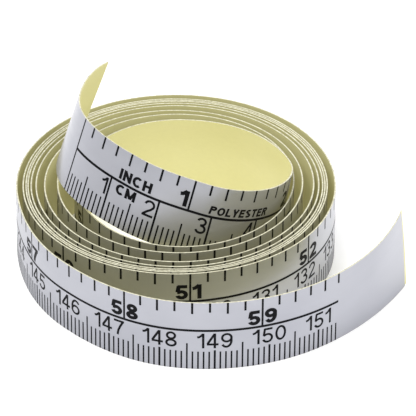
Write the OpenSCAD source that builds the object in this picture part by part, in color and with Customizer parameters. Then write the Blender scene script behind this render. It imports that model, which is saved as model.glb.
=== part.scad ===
// Self-adhesive polyester measuring tape, 60 inch / 150 cm, standing on its edge in a loose coil.
// The tape is a laminate of three strips: printed face film outside, adhesive, release liner inside.
// It is one spiral of a little over nine turns. The inner end is lifted out of the coil and leans over,
// and the outer end springs away from it.

/* [Tape] */
// Width of the tape, from edge to edge
tape_w = 14.5; // [12:0.5:16]
// Thickness of the printed face film
film_t = 0.10; // [0.06:0.01:0.12]
// Thickness of the adhesive
adhesive_t = 0.05; // [0.02:0.01:0.06]
// Thickness of the release liner
liner_t = 0.10; // [0.06:0.01:0.10]

/* [Coil] */
// Extra radius of every turn, for a slacker coil
slack = 0; // [0:0.5:4]
// How far the lifted inner end leans, as a share of its resting lean
lean = 1; // [1:0.02:1.1]
// Flat facets in one turn
facets = 48; // [24:24:72]

/* [Flex lines] */
// Gap between two neighbouring lengths of tape at a flex line
flex_gap = 0.2; // [0.1:0.05:0.3]
// First flex line of the outer tail, in turns
tail_flex_1 = 8.86; // [8.84:0.01:8.90]
// Second flex line of the outer tail, in turns
tail_flex_2 = 8.99; // [8.96:0.01:9.02]
// Third flex line of the outer tail, in turns
tail_flex_3 = 9.11; // [9.08:0.01:9.13]
// Length of the liner tab at the outer end that can be picked up
tab_len = 9; // [6:1:12]
// How far the liner stands past the cut end of the film
liner_over = 1; // [0.2:0.2:1.4]
// Air between the liner tab and the adhesive
tab_air = 0.03; // [0.02:0.01:0.04]

/* [Outer end] */
// Lean of the cut end from upright, top towards the coil, in degrees
tail_lean = 9; // [1:1:10]
// How far the cut end is off square, across the tape's width
end_skew = 2.7; // [0:0.3:3]

/* [Hidden] */

// The coil is wound a little off its own centre: each turn is nearly a circle, set back from the middle.
// Mean radius of the winding, to the film's outer face, in half millimetres: [turn, radius]. Turn 0 is the
// front of the lifted end. The blank leader opens up before it. Turns 1 to 3 are loose, turns 3 to 5 grow by
// a millimetre each, turns 5 to 8 by half a millimetre each, and the outer end springs away after turn 8.75.
SIZE = [
    [-0.5, 23.5], [-0.375, 24.5], [-0.25, 26], [-0.125, 22], [0, 19], [0.25, 18.5], [0.375, 19.5], [0.75, 19.5],
    [1, 20.5], [1.5, 22], [2, 22.5], [3, 25], [5, 27], [8, 28.5], [8.25, 29.5], [8.75, 29.5],
    [8.875, 32], [9, 37], [9.125, 40.5], [9.25, 42.5]];
// How far each turn is set back: [turn, distance]
SET_BACK = [[0, 4.5], [4, 3.5], [9, 3.5]];
// Direction that it is set in, from +X: [turn, degrees]
SET_DIR = [[0, 92], [4, 104], [9, 104]];
// How much longer each turn is from front to back: [turn, half the difference]
OVAL = [[0, 1], [2, 0.25], [9, 0.25]];
// Lean of the tape's width from upright, in degrees: [turn, lean]. It is upright from turn 0.5 on.
LEANS = [[-0.5, 26], [-0.375, 25], [-0.25, 20], [0, 17], [0.25, 13], [0.375, 4], [0.5, 0], [1, 0]];
// Direction that the lifted end leans towards, and how far from the coil's centre its hinge line lies
lean_dir = 34;
lean_reach = 29.5;

u_inner = -0.355;   // inner cut end
u_lead_2 = -0.235;  // flex line in the leader
u_lead_1 = -0.09;   // flex line between the leader and the raised loop
u_loop = 0.5;       // where the raised loop leaves the standing coil
u_stand = 9.12;     // where the outer end begins to lean
u_outer = 9.23;     // outer cut end of the film, at its top edge
h = 0.0005;

function knot_i(k, u, i = 0) = i >= len(k) - 2 || u < k[i + 1][0] ? i : knot_i(k, u, i + 1);
function slope(k, i) = (k[i + 1][1] - k[i][1]) / (k[i + 1][0] - k[i][0]);
function tangent(k, i) =
    i <= 0 ? slope(k, 0) :
    i >= len(k) - 1 ? slope(k, len(k) - 2) :
    let (a = slope(k, i - 1), b = slope(k, i)) a * b <= 0 ? 0 : 2 * a * b / (a + b);
// Smooth curve through the knots that never swings past them
function along(k, u) =
    let (i = knot_i(k, u), w = k[i + 1][0] - k[i][0], t = (u - k[i][0]) / w)
    (2 * t * t * t - 3 * t * t + 1) * k[i][1] + (t * t * t - 2 * t * t + t) * w * tangent(k, i)
    + (3 * t * t - 2 * t * t * t) * k[i + 1][1] + (t * t * t - t * t) * w * tangent(k, i + 1);

function radius(u) =
    let (a = 360 * u - 90)
    along(SIZE, u) + slack + lookup(u, SET_BACK) * cos(a - lookup(u, SET_DIR))
    - lookup(u, OVAL) * cos(2 * a);
function plan(u) = let (r = radius(u), a = 360 * u - 90) [r * cos(a), r * sin(a)];
function heading(u) = let (d = plan(u + h) - plan(u - h)) d / norm(d);
// Plan point a depth d inside the film's outer face
function inside(u, d) = let (t = heading(u)) plan(u) + d * [-t[1], t[0]];
function leaning(u) = u >= 0.5 ? 0 : max(0, along(LEANS, u)) * lean;
// Tips a point of the standing spiral over, about a level line on the far side of the coil
function tip(p, z, a) =
    let (c = cos(lean_dir), s = sin(lean_dir), f = p[0] * c + p[1] * s - lean_reach, g = -p[0] * s + p[1] * c,
         q = lean_reach + f * cos(a) + z * sin(a), y = -f * sin(a) + z * cos(a))
    [q * c - g * s, q * s + g * c, y];
// Lean of the outer end, growing steadily towards the cut; its lower edge flares out and stays on the floor
function flare(u) = u <= u_stand ? 0 : tail_lean * pow((u - u_stand) / (u_outer - u_stand), 2);
function flared(u, d, z, a) =
    let (t = heading(u), q = plan(u) + [t[1], -t[0]] * ((tape_w - z) * sin(a) - d * cos(a)))
    [q[0], q[1], z * cos(a) + (d_liner + tab_air - d) * sin(a)];
function at(u, d, z) = u > u_stand ? flared(u, d, z, flare(u)) : tip(inside(u, d), z, leaning(u));
function speed(u) = norm(at(u + h, 0, tape_w / 2) - at(u - h, 0, tape_w / 2)) / (2 * h);
// Half a flex gap, and other short lengths, in turns
function turns_of(len, u) = len / speed(u);

function before(u) = u - turns_of(flex_gap / 2, u);
function after(u) = u + turns_of(flex_gap / 2, u);
d_film = film_t;
d_adhesive = film_t + adhesive_t;
d_liner = film_t + adhesive_t + liner_t;
u_tab = u_outer - turns_of(tab_len, u_outer);
u_cut = u_outer - turns_of(end_skew, u_outer);         // the cut end at its lower edge
u_liner_end = u_outer + turns_of(liner_over, u_outer);
u_liner_cut = u_cut + turns_of(liner_over, u_outer);

// Stations along a length of tape: its two ends, and every whole facet between them
function stations(u0, u1) =
    concat([u0], [for (i = [ceil(u0 * facets + 0.2):floor(u1 * facets - 0.2)]) i / facets], [u1]);

// Middle of the whole model on the floor
SPAN = concat([for (u = stations(8.2, u_cut)) at(u, 0, 0)], [at(u_liner_cut, d_adhesive, 0)],
              [for (u = stations(u_inner, 0.2), z = [0, tape_w]) at(u, 0, z)]);
mid_x = (max([for (p = SPAN) p[0]]) + min([for (p = SPAN) p[0]])) / 2;
mid_y = (max([for (p = SPAN) p[1]]) + min([for (p = SPAN) p[1]])) / 2;

// A standing length of one layer, between two depths inside the film's face
module standing(u0, u1, d0, d1) {
    s = stations(u0, u1);
    translate([-mid_x, -mid_y, 0])
        linear_extrude(tape_w)
            polygon(concat([for (u = s) inside(u, d0)], [for (i = [len(s) - 1:-1:0]) inside(s[i], d1)]));
}

// A leaning length of one layer; each station is the place of the lower edge and of the upper edge
module leaning_strip(u0, u1, d0, d1) { leaning_at(square_cut(stations(u0, u1)), d0, d1); }
module leaning_at(s, d0, d1) {
    n = len(s);
    pts = [for (u = s) each [at(u[0], d0, 0), at(u[0], d1, 0), at(u[1], d1, tape_w), at(u[1], d0, tape_w)]];
    quads = [for (i = [0:n - 2]) each [
        [4 * i, 4 * i + 4, 4 * i + 7], [4 * i, 4 * i + 7, 4 * i + 3],
        [4 * i + 1, 4 * i + 6, 4 * i + 5], [4 * i + 1, 4 * i + 2, 4 * i + 6],
        [4 * i, 4 * i + 5, 4 * i + 4], [4 * i, 4 * i + 1, 4 * i + 5],
        [4 * i + 3, 4 * i + 7, 4 * i + 6], [4 * i + 3, 4 * i + 6, 4 * i + 2]]];
    ends = [[0, 3, 2], [0, 2, 1], [4 * n - 4, 4 * n - 3, 4 * n - 2], [4 * n - 4, 4 * n - 2, 4 * n - 1]];
    translate([-mid_x, -mid_y, 0])
        polyhedron(points = pts, faces = [for (f = concat(quads, ends)) [f[2], f[1], f[0]]], convexity = 6);
}

function square_cut(s) = [for (u = s) [u, u]];
// The outer end has its stations at the tab line in every layer, and its last one runs across the slanting cut
root_stations = square_cut(stations(after(tail_flex_3), before(u_tab)));
cut_stations = [for (u = stations(after(u_tab), u_cut)) [u, u == u_cut ? u_outer : u]];

film_colour = [0.86, 0.87, 0.90];
adhesive_colour = [0.92, 0.91, 0.84];
liner_colour = [0.88, 0.85, 0.58];

module face_film_coil() { color(film_colour) standing(after(u_loop), before(tail_flex_1), 0, d_film); }
module adhesive_coil() { color(adhesive_colour) standing(after(u_loop), before(tail_flex_1), d_film, d_adhesive); }
module release_liner_coil() { color(liner_colour) standing(after(u_loop), before(tail_flex_1), d_adhesive, d_liner); }

module face_film_tail_near() { color(film_colour) standing(after(tail_flex_1), before(tail_flex_2), 0, d_film); }
module adhesive_tail_near() { color(adhesive_colour) standing(after(tail_flex_1), before(tail_flex_2), d_film, d_adhesive); }
module release_liner_tail_near() { color(liner_colour) standing(after(tail_flex_1), before(tail_flex_2), d_adhesive, d_liner); }

module face_film_tail_middle() { color(film_colour) standing(after(tail_flex_2), before(tail_flex_3), 0, d_film); }
module adhesive_tail_middle() { color(adhesive_colour) standing(after(tail_flex_2), before(tail_flex_3), d_film, d_adhesive); }
module release_liner_tail_middle() { color(liner_colour) standing(after(tail_flex_2), before(tail_flex_3), d_adhesive, d_liner); }

module face_film_tail_end() { color(film_colour) leaning_at(concat(root_stations, cut_stations), 0, d_film); }
module adhesive_tail_end() { color(adhesive_colour) leaning_at(concat(root_stations, cut_stations), d_film, d_adhesive); }
module release_liner_tail_end() { color(liner_colour) leaning_at(root_stations, d_adhesive, d_liner); }
module release_liner_tab() { color(liner_colour) leaning_at(concat(cut_stations, [[u_liner_cut, u_liner_end]]), d_adhesive + tab_air, d_liner + tab_air); }

module face_film_inner_loop() { color(film_colour) leaning_strip(after(u_lead_1), before(u_loop), 0, d_film); }
module adhesive_inner_loop() { color(adhesive_colour) leaning_strip(after(u_lead_1), before(u_loop), d_film, d_adhesive); }
module release_liner_inner_loop() { color(liner_colour) leaning_strip(after(u_lead_1), before(u_loop), d_adhesive, d_liner); }

module face_film_leader_near() { color(film_colour) leaning_strip(after(u_lead_2), before(u_lead_1), 0, d_film); }
module adhesive_leader_near() { color(adhesive_colour) leaning_strip(after(u_lead_2), before(u_lead_1), d_film, d_adhesive); }
module release_liner_leader_near() { color(liner_colour) leaning_strip(after(u_lead_2), before(u_lead_1), d_adhesive, d_liner); }

module face_film_leader_end() { color(film_colour) leaning_strip(u_inner, before(u_lead_2), 0, d_film); }
module adhesive_leader_end() { color(adhesive_colour) leaning_strip(u_inner, before(u_lead_2), d_film, d_adhesive); }
module release_liner_leader_end() { color(liner_colour) leaning_strip(u_inner, before(u_lead_2), d_adhesive, d_liner); }

face_film_coil();
adhesive_coil();
release_liner_coil();
face_film_tail_near();
adhesive_tail_near();
release_liner_tail_near();
face_film_tail_middle();
adhesive_tail_middle();
release_liner_tail_middle();
face_film_tail_end();
adhesive_tail_end();
release_liner_tail_end();
release_liner_tab();
face_film_inner_loop();
adhesive_inner_loop();
release_liner_inner_loop();
face_film_leader_near();
adhesive_leader_near();
release_liner_leader_near();
face_film_leader_end();
adhesive_leader_end();
release_liner_leader_end();
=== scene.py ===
import math
import bpy
import bmesh
import numpy as np
from mathutils import Vector, Matrix


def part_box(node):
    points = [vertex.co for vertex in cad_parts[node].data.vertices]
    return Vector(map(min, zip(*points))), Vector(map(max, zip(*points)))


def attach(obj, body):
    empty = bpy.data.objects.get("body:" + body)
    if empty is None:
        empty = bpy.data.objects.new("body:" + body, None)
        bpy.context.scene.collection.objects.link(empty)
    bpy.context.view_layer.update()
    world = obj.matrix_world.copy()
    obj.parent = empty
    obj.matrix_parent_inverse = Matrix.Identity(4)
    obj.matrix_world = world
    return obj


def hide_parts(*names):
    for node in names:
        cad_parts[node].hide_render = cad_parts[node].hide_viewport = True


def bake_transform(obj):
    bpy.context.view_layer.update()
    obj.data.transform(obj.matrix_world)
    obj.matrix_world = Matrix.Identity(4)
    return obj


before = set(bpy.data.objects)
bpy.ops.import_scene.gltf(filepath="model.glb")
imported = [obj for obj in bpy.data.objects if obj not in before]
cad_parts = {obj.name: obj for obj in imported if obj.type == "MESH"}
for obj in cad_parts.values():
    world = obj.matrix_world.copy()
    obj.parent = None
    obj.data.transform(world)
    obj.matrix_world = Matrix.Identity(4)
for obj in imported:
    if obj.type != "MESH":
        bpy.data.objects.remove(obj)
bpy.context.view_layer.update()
MM = 0.001

# ------------------------------------------------------------------ the tape's course, as in part.scad (mm)
W, FILM, ADHESIVE, LINER, AIR = 14.5, 0.10, 0.05, 0.10, 0.03
U_IN, U_OUT, U_STAND = -0.355, 9.23, 9.12
TAIL_LEAN, END_SKEW, LINER_OVER = 9, 2.7, 1.0
SIZE = [(-0.5, 23.5), (-0.375, 24.5), (-0.25, 26), (-0.125, 22), (0, 19), (0.25, 18.5), (0.375, 19.5), (0.75, 19.5), (1, 20.5),
        (1.5, 22), (2, 22.5), (3, 25), (5, 27), (8, 28.5), (8.25, 29.5), (8.75, 29.5), (8.875, 32), (9, 37),
        (9.125, 40.5), (9.25, 42.5)]
SET_BACK = [(0, 4.5), (4, 3.5), (9, 3.5)]
SET_DIR = [(0, 92), (4, 104), (9, 104)]
OVAL = [(0, 1), (2, 0.25), (9, 0.25)]
LEANS = [(-0.5, 26), (-0.375, 25), (-0.25, 20), (0, 17), (0.25, 13), (0.375, 4), (0.5, 0), (1, 0)]
LEAN_DIR, LEAN_REACH = math.radians(34), 29.5


def along(knots, u):
    k = np.array(knots, float)
    x, y = k[:, 0], k[:, 1]
    u = np.asarray(u, float)
    h = np.diff(x)
    d = np.diff(y) / h
    m = np.empty(len(x))
    p, q = d[:-1], d[1:]
    m[1:-1] = np.where(p * q > 0, 2 * p * q / np.where(p * q > 0, p + q, 1), 0)
    m[0], m[-1] = d[0], d[-1]
    i = np.clip(np.searchsorted(x, u, side="right") - 1, 0, len(x) - 2)
    t = (u - x[i]) / h[i]
    return ((2 * t**3 - 3 * t**2 + 1) * y[i] + (t**3 - 2 * t**2 + t) * h[i] * m[i]
            + (3 * t**2 - 2 * t**3) * y[i + 1] + (t**3 - t**2) * h[i] * m[i + 1])


def lookup(u, knots):
    k = np.array(knots, float)
    return np.interp(u, k[:, 0], k[:, 1])


def plan(u):
    a = np.radians(360 * u - 90)
    r = (along(SIZE, u) + lookup(u, SET_BACK) * np.cos(a - np.radians(lookup(u, SET_DIR)))
         - lookup(u, OVAL) * np.cos(2 * a))
    return r * np.cos(a), r * np.sin(a)


def coil_point(u, d, z):
    """A point of the tape: u in turns, d inside the film's outer face, z up its width. Coil-centred, in mm."""
    u = np.asarray(u, float)
    x, y = plan(u)
    h = 0.0005
    x1, y1 = plan(u + h)
    x0, y0 = plan(u - h)
    tx, ty = x1 - x0, y1 - y0
    n = np.hypot(tx, ty)
    x = x - d * ty / n
    y = y + d * tx / n
    lean = np.radians(np.where(u >= 0.5, 0.0, np.maximum(0, along(LEANS, u))))
    c, s = math.cos(LEAN_DIR), math.sin(LEAN_DIR)
    f = x * c + y * s - LEAN_REACH
    g = -x * s + y * c
    z = z + 0 * u
    flare = np.radians(np.where(u > U_STAND, TAIL_LEAN * ((u - U_STAND) / (U_OUT - U_STAND)) ** 2, 0.0))
    out = (W - z) * np.sin(flare) - d * np.cos(flare)
    px, py = plan(u)
    flared = np.stack([px + out * ty / n, py - out * tx / n,
                       z * np.cos(flare) + (FILM + ADHESIVE + LINER + AIR - d) * np.sin(flare)], -1)
    q = LEAN_REACH + f * np.cos(lean) + z * np.sin(lean)
    tipped = np.stack([q * c - g * s, q * s + g * c, -f * np.sin(lean) + z * np.cos(lean)], -1)
    return np.where((u > U_STAND)[..., None], flared, tipped)


GRID = np.linspace(U_IN - 0.01, U_OUT + 0.009, 12001)
_mid = coil_point(GRID, 0, W - 6.05)
LENGTH = np.r_[0, np.cumsum(np.linalg.norm(np.diff(_mid, axis=0), axis=1))]
PRINT_ZERO = -0.2211
LENGTH -= np.interp(PRINT_ZERO, GRID, LENGTH)


def u_at(s):
    return np.interp(s, LENGTH, GRID)


def s_at(u):
    return np.interp(u, GRID, LENGTH)


# the CAD puts the middle of the whole model's box at the origin
_lo, _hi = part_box("face_film_coil")
_u = np.array([i / 48 for i in range(24, 426)])
_film = coil_point(_u, 0, 0)
MID = (np.array([(_film[:, 0].max() + _film[:, 0].min()) / 2 - (_lo.x + _hi.x) / 2 / MM,
                 (_film[:, 1].max() + _film[:, 1].min()) / 2 - (_lo.y + _hi.y) / 2 / MM, 0]))


def at(u, d, z):
    return (coil_point(u, d, z) - MID) * MM


# ------------------------------------------------------------------ camera first
ELEV, ROLL, FOCAL, DIST, CX, CY = 34.789, 0.490, 4507.7, 848.8, -5.088, -16.386
e, r = math.radians(ELEV), math.radians(ROLL)
fwd = Vector((0, math.cos(e), -math.sin(e)))
right = Vector((1, 0, 0))
up = right.cross(fwd)
r2 = math.cos(r) * right + math.sin(r) * up
u2 = -math.sin(r) * right + math.cos(r) * up
target = Vector((-CX - MID[0], -CY - MID[1], 0)) * MM
cam_data = bpy.data.cameras.new("camera")
cam_data.sensor_width = 36
cam_data.lens = FOCAL / 416 * 36
cam_data.clip_start = 0.05
cam = bpy.data.objects.new("camera", cam_data)
bpy.context.scene.collection.objects.link(cam)
m = Matrix((r2, u2, -fwd)).transposed().to_4x4()
m.translation = target - fwd * DIST * MM
cam.matrix_world = m
bpy.context.scene.camera = cam

# ------------------------------------------------------------------ materials


def material(name):
    mat = bpy.data.materials.new(name)
    mat.use_nodes = True
    nt = mat.node_tree
    nt.nodes.clear()
    out = nt.nodes.new("ShaderNodeOutputMaterial")
    b = nt.nodes.new("ShaderNodeBsdfPrincipled")
    nt.links.new(b.outputs[0], out.inputs[0])
    return mat, nt, b


def node(nt, kind, **kw):
    n = nt.nodes.new("ShaderNode" + kind)
    for k, v in kw.items():
        if k in n.inputs:
            n.inputs[k].default_value = v
        else:
            setattr(n, k, v)
    return n


def tape_vector(nt, sx, sz):
    """Coordinates along and across the tape, in metres times a scale: textures run with the film, not with space."""
    a = node(nt, "Attribute", attribute_name="tape_s")
    b = node(nt, "Attribute", attribute_name="tape_z")
    c = node(nt, "CombineXYZ")
    for src, i, k in ((a, 0, sx), (b, 1, sz)):
        mu = node(nt, "Math", operation="MULTIPLY")
        mu.inputs[1].default_value = k
        nt.links.new(src.outputs["Fac"], mu.inputs[0])
        nt.links.new(mu.outputs[0], c.inputs[i])
    return c.outputs[0]


def noise(nt, vec, detail=3.0, rough=0.5):
    n = node(nt, "TexNoise")
    n.inputs["Scale"].default_value = 1.0
    n.inputs["Detail"].default_value = detail
    n.inputs["Roughness"].default_value = rough
    nt.links.new(vec, n.inputs["Vector"])
    return n.outputs["Fac"]


def spread(nt, fac, lo, hi):
    n = node(nt, "MapRange")
    n.inputs["From Min"].default_value = 0.3
    n.inputs["From Max"].default_value = 0.7
    n.inputs["To Min"].default_value = lo
    n.inputs["To Max"].default_value = hi
    nt.links.new(fac, n.inputs["Value"])
    return n.outputs[0]


def two_tone(nt, fac, a, b):
    n = node(nt, "Mix", data_type="RGBA")
    n.inputs[6].default_value = (*a, 1)
    n.inputs[7].default_value = (*b, 1)
    nt.links.new(fac, n.inputs[0])
    return n.outputs[2]


def bumped(nt, b, fac, distance, strength=1.0, under=None):
    n = node(nt, "Bump")
    n.inputs["Strength"].default_value = strength
    n.inputs["Distance"].default_value = distance
    nt.links.new(fac, n.inputs["Height"])
    if under is not None:
        nt.links.new(under, n.inputs["Normal"])
    nt.links.new(n.outputs[0], b.inputs["Normal"])
    return n.outputs[0]


# printed polyester: a satin silver-white film with faint streaks from the web and fine grain
film_mat, nt, b = material("polyester_film")
streaks = noise(nt, tape_vector(nt, 12, 900), 3)
cloud = noise(nt, tape_vector(nt, 55, 90), 2)
grain = noise(nt, tape_vector(nt, 5000, 5000), 2)
nt.links.new(two_tone(nt, spread(nt, cloud, 0, 1), (0.36, 0.365, 0.405), (0.41, 0.415, 0.455)), b.inputs["Base Color"])
nt.links.new(spread(nt, streaks, 0.28, 0.34), b.inputs["Roughness"])
b.inputs["Metallic"].default_value = 0.72
b.inputs["Specular IOR Level"].default_value = 0.5
b.inputs["Coat Weight"].default_value = 0.12
b.inputs["Coat Roughness"].default_value = 0.18
soft = bumped(nt, b, cloud, 0.00006, 0.5)
bumped(nt, b, grain, 0.000003, 0.2, soft)

# cut edge of the laminate: bright and slightly warm
edge_mat, nt, b = material("cut_edge")
nick = noise(nt, tape_vector(nt, 2500, 9000), 3)
nt.links.new(two_tone(nt, spread(nt, nick, 0, 1), (0.42, 0.40, 0.28), (0.70, 0.68, 0.52)), b.inputs["Base Color"])
nt.links.new(spread(nt, nick, 0.45, 0.62), b.inputs["Roughness"])
bumped(nt, b, nick, 0.00001, 0.5)

adhesive_mat, nt, b = material("adhesive")
nick = noise(nt, tape_vector(nt, 700, 4000), 2)
nt.links.new(two_tone(nt, spread(nt, nick, 0, 1), (0.80, 0.78, 0.66), (0.90, 0.89, 0.80)), b.inputs["Base Color"])
nt.links.new(spread(nt, nick, 0.22, 0.36), b.inputs["Roughness"])
b.inputs["Transmission Weight"].default_value = 0.15

# release liner: pale yellow paper with a silicone skin, cloudy fibres and a soft sheen
liner_mat, nt, b = material("release_liner")
fibre = noise(nt, tape_vector(nt, 900, 1600), 5, 0.6)
cloud = noise(nt, tape_vector(nt, 60, 110), 3)
base = two_tone(nt, spread(nt, cloud, 0, 1), (0.56, 0.535, 0.275), (0.605, 0.58, 0.325))
mix = node(nt, "Mix", data_type="RGBA", blend_type="MULTIPLY")
mix.inputs[0].default_value = 0.10
nt.links.new(base, mix.inputs[6])
nt.links.new(fibre, mix.inputs[7])
nt.links.new(mix.outputs[2], b.inputs["Base Color"])
nt.links.new(spread(nt, fibre, 0.40, 0.52), b.inputs["Roughness"])
b.inputs["Specular IOR Level"].default_value = 0.35
# painted light: the liner glows as if lit, in addition to what the lamps give it
b.inputs["Emission Color"].default_value = (0.80, 0.73, 0.28, 1)     # painted glow: emission brightens the yellow liner, in place of light through the thin laminate and between turns
b.inputs["Emission Strength"].default_value = 0.20
soft = bumped(nt, b, cloud, 0.00005, 0.4)
bumped(nt, b, fibre, 0.000006, 0.4, soft)

ink_mat, nt, b = material("black_ink")
press = noise(nt, tape_vector(nt, 3000, 3000), 3)
nt.links.new(two_tone(nt, spread(nt, press, 0, 1), (0.002, 0.002, 0.003), (0.006, 0.006, 0.008)), b.inputs["Base Color"])
nt.links.new(spread(nt, press, 0.38, 0.55), b.inputs["Roughness"])
b.inputs["Specular IOR Level"].default_value = 0.08

# ------------------------------------------------------------------ strips of tape
coll = bpy.context.scene.collection


def make(name, verts, faces, s, z, mats, mat_ids=None, smooth=True):
    me = bpy.data.meshes.new(name)
    me.from_pydata([tuple(v) for v in verts], [], [tuple(int(i) for i in f) for f in faces])
    for an, vals in (("tape_s", s), ("tape_z", z)):
        a = me.attributes.new(an, "FLOAT", "POINT")
        a.data.foreach_set("value", np.asarray(vals, np.float32))
    for mt in mats:
        me.materials.append(mt)
    if mat_ids is not None:
        me.polygons.foreach_set("material_index", np.asarray(mat_ids, np.int32))
    me.polygons.foreach_set("use_smooth", [bool(smooth)] * len(me.polygons))
    me.update()
    o = bpy.data.objects.new(name, me)
    coll.objects.link(o)
    return o


def strip(name, u0, u1, d0, d1, mat, step=0.6, rows=6, skew=0.0):
    """A closed length of one layer between depths d0 (outside) and d1 (inside); skew sets its last cut off square, in mm."""
    s0, s1 = s_at(u0), s_at(u1)
    n = max(8, int(math.ceil((s1 - s0) / step)) + 1)
    us = u_at(np.linspace(s0, s1, n))
    us[0], us[-1] = u0, u1
    zs = np.linspace(0, W, rows)
    ring = [(d0, zz) for zz in zs] + [(d1, zz) for zz in zs[::-1]]
    k = len(ring)
    P = np.empty((n, k, 3))
    S = np.empty((n, k))
    for j, (d, zz) in enumerate(ring):
        sj = s_at(us) - skew * (1 - zz / W) * np.clip((s_at(us) - s0) / max(s1 - s0, 1e-9), 0, 1) ** 2
        P[:, j] = at(u_at(sj) if skew else us, d, zz)
        S[:, j] = sj * MM
    S = S.ravel()
    Z = np.tile([zz * MM for _, zz in ring], n)
    faces, ids = [], []
    for i in range(n - 1):
        a, c = i * k, (i + 1) * k
        for j in range(k):
            jj = (j + 1) % k
            faces.append((a + j, c + j, c + jj, a + jj))
            ids.append(1 if j in (rows - 1, k - 1) else 0)
    for j in range(rows - 1):      # end caps as quads
        a = j
        faces.append((a, a + 1, k - 2 - j, k - 1 - j))
        ids.append(1)
        o = (n - 1) * k
        faces.append((o + a, o + k - 1 - j, o + k - 2 - j, o + a + 1))
        ids.append(1)
    ob = make(name, P.reshape(-1, 3), faces, S, Z, [mat, edge_mat], ids)
    # crisp long edges between faces and cut edges
    me = ob.data
    hard = np.zeros(len(me.edges), bool)
    ev = np.empty(len(me.edges) * 2, np.int32)
    me.edges.foreach_get("vertices", ev)
    ev = ev.reshape(-1, 2)
    ja, jb = ev[:, 0] % k, ev[:, 1] % k
    corner = np.isin(ja, (0, rows - 1, rows, k - 1)) & (ja == jb)
    last = (n - 1) * k
    cap = ((ev < k).all(1)) | ((ev >= last).all(1))
    hard[corner | cap] = True
    at_sharp = me.attributes.get("sharp_edge") or me.attributes.new("sharp_edge", "BOOLEAN", "EDGE")
    at_sharp.data.foreach_set("value", hard)
    return ob


# section: name, from, to, (body before, body after, flex line) or one body, CAD suffixes that it stands for
SECTIONS = [
    ("leader_end", U_IN, -0.165, ("leader_near", "leader_end", -0.235), ["leader_end"]),
    ("leader_near", -0.165, 0.10, ("inner_loop", "leader_near", -0.09), ["leader_near"]),
    ("inner_loop", 0.10, 0.30, "inner_loop", ["inner_loop"]),
    ("inner_root", 0.30, 0.60, ("coil", "inner_loop", 0.5), []),
    ("coil", 0.60, 8.80, "coil", ["coil"]),
    ("tail_near", 8.80, 8.925, ("coil", "tail_near", 8.86), ["tail_near"]),
    ("tail_middle", 8.925, 9.05, ("tail_near", "tail_middle", 8.99), ["tail_middle"]),
    ("tail_end", 9.05, U_OUT, ("tail_middle", "tail_end", 9.11), ["tail_end"]),
]
# mm each side of a flex line, short where the next turn is close; bind reads it, but nothing bends the tape there
REACH = {"leader_end": 9.0, "leader_near": 9.0, "inner_root": 4.5, "tail_near": 4.5, "tail_middle": 10.0, "tail_end": 10.0}


def bind(ob, how, reach=4.5):
    if isinstance(how, str):
        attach(ob, how)
        return
    a, b_, uf = how
    s = float(s_at(uf))
    # the first body is the one nearer the coil: below the line on the leader, above it on the tail
    sign = 1 if uf > 1 else -1
    p = at(np.array([u_at(s - sign * reach)]), 0.12, W / 2)[0]
    q = at(np.array([u_at(s + sign * reach)]), 0.12, W / 2)[0]
    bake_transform(ob)


speed = float(np.interp(U_OUT - 0.02, GRID[1:], np.diff(LENGTH) / np.diff(GRID)))
U_TAB = U_OUT - 9.0 / speed
U_LINER_OUT = U_OUT + LINER_OVER / speed

for name, u0, u1, how, cad in SECTIONS:
    for layer, d0, d1, mat in (("face_film", 0.0, FILM, film_mat), ("adhesive", FILM, FILM + ADHESIVE, adhesive_mat),
                               ("release_liner", FILM + ADHESIVE, FILM + ADHESIVE + LINER, liner_mat)):
        v1 = u1
        if layer == "release_liner" and name == "tail_end":
            v1 = U_OUT - 13.0 / speed
        cut = END_SKEW if name == "tail_end" and layer != "release_liner" else 0.0
        ob = strip(f"tape_{layer}_{name}", u0, v1, d0, d1, mat, rows=6 if layer != "adhesive" else 2, skew=cut)
        bind(ob, how, REACH.get(name, 4.5))
        if cad:
            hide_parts(*[f"{layer}_{c}" for c in cad])

tab = strip("tape_release_liner_tab", U_OUT - 13.0 / speed, U_LINER_OUT, FILM + ADHESIVE, FILM + ADHESIVE + LINER, liner_mat, skew=END_SKEW)
s_tab = float(s_at(U_TAB))
p = at(np.array([u_at(s_tab + 0.6)]), 0.2, W / 2)[0]
q = at(np.array([u_at(s_tab + 3.0)]), 0.2, W / 2)[0]
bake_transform(tab)
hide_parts("release_liner_tab")

# ------------------------------------------------------------------ print
PROUD, SUNK = -0.010, 0.006
MID_Z = W - 6.05
PRINT_END = 59.625 * 25.4
items = []   # (s centre, verts list of (s, z, d), faces)


def bar(s0, s1, z0, z1):
    v = [(s, z, d) for d in (SUNK, PROUD) for s, z in ((s0, z0), (s1, z0), (s1, z1), (s0, z1))]
    f = [(3, 2, 1, 0), (4, 5, 6, 7), (0, 1, 5, 4), (1, 2, 6, 5), (2, 3, 7, 6), (3, 0, 4, 7)]
    items.append(((s0 + s1) / 2, v, f))


def arc(cx, cy, rx, ry, a0, a1):
    n = max(6, int(abs(a1 - a0) / 11))
    return [(cx + rx * math.cos(math.radians(a)), cy + ry * math.sin(math.radians(a))) for a in np.linspace(a0, a1, n + 1)]


def ring(cx, cy, rx, ry):
    return ("ring", arc(cx, cy, rx, ry, 90, 450)[:-1])


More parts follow.
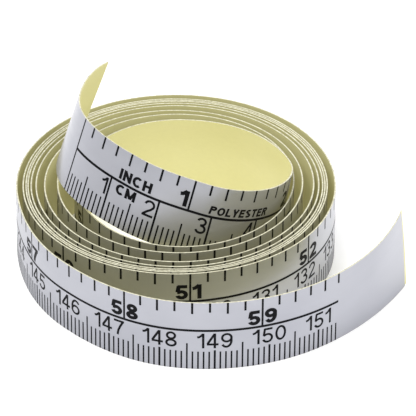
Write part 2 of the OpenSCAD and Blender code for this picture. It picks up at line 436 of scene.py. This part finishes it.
def strokes(ch, k):
    """Centre lines of one plain sans-serif character with a cap height of 1 and half a stroke of k: (width, list of paths)."""
    w = 0.64 + 0.3 * k
    m, q = w / 2, 1 - k
    if ch == "0":
        return w, [ring(m, .5, m - k, .5 - k)]
    if ch == "1":
        x = 0.30 + k * 0.6
        return x + k, [[(x, 0), (x, 1)], [(0.0, .735), (0.12, .755), (0.22, .83), (x - k * .2, .965)]]
    if ch == "2":
        top = arc(m, .69, m - k, .31 - k, 172, -18)
        return w, [top + [(w * .70, .46), (w * .40, .30), (w * .16, .14), (k, 2 * k * .6)], [(0, k), (w, k)]]
    if ch == "3":
        return w, [arc(m - .01, .735, m - k - .03, .265 - k, 165, -80) + [(m - .06, .5 + k * .3)],
                   [(m - .06, .5 + k * .3)] + arc(m, .28 + k * .15, m - k, .28 - k * .85, 75, -165)]
    if ch == "4":
        x = w - .14 - k
        return w, [[(x, 0), (x, 1)], [(0, .26), (w, .26)], [(x - k * .2, .97), (k * .6, .29)]]
    if ch == "5":
        return w, [[(.13, q), (w - .04, q)], [(.13 + k * .55, q + k * .4), (.075 + k * .5, .50)],
                   [(.06 + k * .5, .50)] + arc(m, .325, m - k, .325 - k, 128, -162)]
    if ch == "6":
        return w, [ring(m, .32, m - k, .32 - k), arc(m + .02, .52, m + .02 - k, .48 - k, 38, 180) + [(k, .33)]]
    if ch == "9":
        return w, [ring(m, .68, m - k, .32 - k), arc(m - .02, .48, m + .02 - k, .48 - k, 218, 360) + [(w - k, .67)]]
    if ch == "7":
        return w, [[(0, q), (w, q)], [(w - k * 1.1, q), (w * .62, .60), (w * .44, .30), (w * .36, 0)]]
    if ch == "8":
        return w, [ring(m, .745 + k * .1, m - k - .035, .255 - k * .75), ring(m, .265, m - k, .265 - k * .95)]
    if ch == "I":
        return 2 * k, [[(k, 0), (k, 1)]]
    if ch == "N":
        w = .74
        return w, [[(k, 0), (k, 1)], [(w - k, 0), (w - k, 1)], [(k, 1 - k * .6), (w - k, k * .6)]]
    if ch == "C":
        w = .80
        return w, [arc(w / 2 + .02, .5, w / 2 + .02 - k, .5 - k, 48, 312)]
    if ch == "H":
        w = .74
        return w, [[(k, 0), (k, 1)], [(w - k, 0), (w - k, 1)], [(k, .53), (w - k, .53)]]
    if ch == "M":
        w = .92
        return w, [[(k, 0), (k, 1)], [(w - k, 0), (w - k, 1)], [(k, 1 - k * .4), (w / 2, .10)], [(w - k, 1 - k * .4), (w / 2, .10)]]
    if ch in "PR":
        w = .70
        p = [[(k, 0), (k, 1)], [(k, q), (w * .55, q)] + arc(w * .55, .73, w * .45 - k, .27 - k, 88, -88) + [(w * .55, .46 + k), (k, .46 + k)]]
        if ch == "R":
            p.append([(w * .55, .46 + k), (w - k, 0)])
        return w, p
    if ch == "O":
        w = .82
        return w, [ring(w / 2, .5, w / 2 - k, .5 - k)]
    if ch == "L":
        return .60, [[(k, 0), (k, 1)], [(k, k), (.60, k)]]
    if ch == "Y":
        w = .72
        return w, [[(w / 2, 0), (w / 2, .44)], [(k * .9, 1), (w / 2, .40)], [(w - k * .9, 1), (w / 2, .40)]]
    if ch == "E":
        return .64, [[(k, 0), (k, 1)], [(k, k), (.64, k)], [(k, q), (.62, q)], [(k, .53), (.58, .53)]]
    if ch == "T":
        w = .66
        return w, [[(w / 2, 0), (w / 2, 1)], [(0, q), (w, q)]]
    if ch == "S":
        w = .68
        return w, [arc(w / 2, .735, w / 2 - k, .265 - k, 35, 270)[:-1] + [(w / 2, .5)] + arc(w / 2, .265, w / 2 - k, .265 - k, 90, -145)[1:]]
    raise ValueError(ch)


def finer(path, closed, step=0.11):
    """The same path with no stretch longer than step, so that it can follow the tape's curve."""
    out = []
    n = len(path)
    for i in range(n if closed else n - 1):
        (x0, y0), (x1, y1) = path[i], path[(i + 1) % n]
        c = max(1, int(math.ceil(math.hypot(x1 - x0, y1 - y0) / step)))
        out += [(x0 + (x1 - x0) * t / c, y0 + (y1 - y0) * t / c) for t in range(c)]
    if not closed:
        out.append(path[-1])
    return out


_glyphs = {}


def glyph(ch, k):
    """(width, list of (left points, right points, closed)) of one character."""
    if (ch, k) in _glyphs:
        return _glyphs[ch, k]
    w, paths = strokes(ch, k)
    parts = []
    for path in paths:
        closed = path[0] == "ring"
        if closed:
            path = path[1]
        p = np.array(finer(path, closed))
        if closed:
            t = np.roll(p, -1, 0) - np.roll(p, 1, 0)
        else:
            t = np.gradient(p, axis=0)
        t /= np.linalg.norm(t, axis=1)[:, None]
        nrm = np.stack([-t[:, 1], t[:, 0]], 1) * k
        parts.append((p + nrm, p - nrm, closed))
    _glyphs[ch, k] = (w, parts)
    return _glyphs[ch, k]


def word(txt, s, z, height, bold=0.0, stretch=1.0, gap=0.13, align="c", lean=0.0):
    """Characters side by side; s is the middle, left or right of the word along the tape, z its foot, bold half a stroke."""
    k = bold or 0.062
    gs = [glyph(c, k) for c in txt]
    hx = height * stretch
    total = sum(g[0] for g in gs) * hx + gap * height * (len(txt) - 1)
    x = s - (total / 2 if align == "c" else total if align == "r" else 0)
    for w, parts in gs:
        for lf, rt, closed in parts:
            n = len(lf)
            v = []
            for a, b_ in zip(lf, rt):
                for pt, d in ((a, PROUD), (b_, PROUD), (b_, SUNK), (a, SUNK)):
                    v.append((x + pt[0] * hx + lean * pt[1] * height, z + pt[1] * height, d))
            f = []
            for i in range(n if closed else n - 1):
                p, q = 4 * i, 4 * ((i + 1) % n)
                for j in range(4):
                    jj = (j + 1) % 4
                    f.append((p + j, p + jj, q + jj, q + j))
            if not closed:
                f.append((3, 2, 1, 0))
                f.append((4 * n - 4, 4 * n - 3, 4 * n - 2, 4 * n - 1))
            items.append((x + w * hx / 2, v, f))
        x += w * hx + gap * height


# graduations
bar(-0.17, 0.17, 0.0, W)
for i in range(1, int(PRINT_END / 3.175) + 1):
    s = i * 3.175
    if i % 8 == 0:
        bar(s - 0.19, s + 0.19, MID_Z, W)
    else:
        ln = 2.03 if i % 2 else 2.4
        bar(s - 0.20, s + 0.20, W - ln, W)
for i in range(1, int(PRINT_END) + 1):
    if i % 10 == 0:
        full = i < 100
        bar(i - 0.19, i + 0.19, 0, MID_Z if full else 4.15)
    elif i % 5 == 0:
        bar(i - 0.15, i + 0.15, 0, 5.6)
    else:
        bar(i - 0.15, i + 0.15, 0, 3.84)
HEAVY = 0.112
for i in range(1, 60):
    s, t = i * 25.4, str(i)
    if len(t) == 1:
        word(t, s - 0.50, MID_Z + 0.55, 3.15, HEAVY, stretch=1.1, align="r")
    else:
        word(t[0], s - 0.40, MID_Z + 0.50, 3.15, HEAVY, stretch=1.1, align="r")
        word(t[1], s + 0.40, MID_Z + 0.50, 3.15, HEAVY, stretch=1.1, align="l")
for i in range(1, 152):
    s, t = i * 10.0, str(i)
    if len(t) == 1:
        word(t, s - 0.45, 4.65, 3.25, 0.068, stretch=0.98, align="r")
    else:
        word(t, s, 4.6, 3.25, 0.068, stretch=0.98)
word("INCH", 14.7, MID_Z + 0.55, 2.05, 0.12, stretch=1.17, gap=0.11)
word("CM", 13.5, MID_Z - 2.4, 2.0, 0.12, stretch=1.17, gap=0.09)
word("POLYESTER", 35.7, MID_Z + 0.55, 1.65, 0.115, stretch=1.12, gap=0.13, lean=0.14)

line_parts = []
for name, u0, u1, how, cad in SECTIONS:
    verts, faces, S, Z = [], [], [], []
    # centre line, on the film's own stations
    a, b_ = max(float(s_at(u0)), 0.0), min(float(s_at(u1)), PRINT_END)
    if b_ > a:
        n = max(2, int(math.ceil((b_ - a) / 0.6)) + 1)
        ss = np.linspace(a, b_, n)
        for s in ss:
            for z, d in ((MID_Z - 0.24, SUNK), (MID_Z - 0.24, PROUD), (MID_Z + 0.24, PROUD), (MID_Z + 0.24, SUNK)):
                verts.append((s, z, d))
        for i in range(n - 1):
            p, q = 4 * i, 4 * i + 4
            for j in range(4):
                jj = (j + 1) % 4
                faces.append((p + j, q + j, q + jj, p + jj))
        faces.append((0, 1, 2, 3))
        faces.append((4 * n - 1, 4 * n - 2, 4 * n - 3, 4 * n - 4))
    for sc, v, f in items:
        uc = float(u_at(sc))
        if u0 <= uc < u1:
            o = len(verts)
            verts += v
            faces += [tuple(i + o for i in g) for g in f]
    if not verts:
        continue
    V = np.array(verts)
    us = u_at(V[:, 0])
    P = at(us, V[:, 2], V[:, 1])
    ob = make(f"print_{name}", P, faces, V[:, 0] * MM, V[:, 1] * MM, [ink_mat], smooth=False)
    bind(ob, how, REACH.get(name, 4.5))

# ------------------------------------------------------------------ floor and light
me = bpy.data.meshes.new("floor")
me.from_pydata([(-3, -3, -0.00005), (3, -3, -0.00005), (3, 3, -0.00005), (-3, 3, -0.00005)], [], [(0, 1, 2, 3)])
floor = bpy.data.objects.new("floor", me)
coll.objects.link(floor)
floor_mat, nt, b = material("floor")
paper = node(nt, "TexCoord")
n = noise(nt, paper.outputs["Object"], 3)
nt.links.new(two_tone(nt, n, (0.93, 0.93, 0.93), (0.95, 0.95, 0.95)), b.inputs["Base Color"])
b.inputs["Roughness"].default_value = 0.9
b.inputs["Emission Color"].default_value = (1, 1, 1, 1)
b.inputs["Emission Strength"].default_value = 0.13
me.materials.append(floor_mat)

world = bpy.data.worlds.new("studio")
bpy.context.scene.world = world
world.use_nodes = True
bg = world.node_tree.nodes.get("Background") or world.node_tree.nodes.new("ShaderNodeBackground")
bg.inputs[0].default_value = (1, 1, 1, 1)
bg.inputs[1].default_value = 0.62


def area(name, loc, size, power, look=(0, 0, 0.008), colour=(1, 1, 1)):
    l = bpy.data.lights.new(name, "AREA")
    l.shape = "RECTANGLE"
    l.size, l.size_y = size
    l.energy = power
    l.color = colour
    o = bpy.data.objects.new(name, l)
    coll.objects.link(o)
    o.location = loc
    o.rotation_euler = (Vector(look) - Vector(loc)).to_track_quat("-Z", "Y").to_euler()
    return o


area("key", (-0.25, -0.15, 0.75), (0.35, 0.35), 3.4)
area("fill", (0.40, -0.15, 0.55), (0.4, 0.4), 1.6)
area("top", (0.0, 0.25, 0.8), (0.6, 0.6), 2.0)
bpy.context.scene.view_settings.view_transform = "Standard"
bpy.context.scene.view_settings.look = "None"
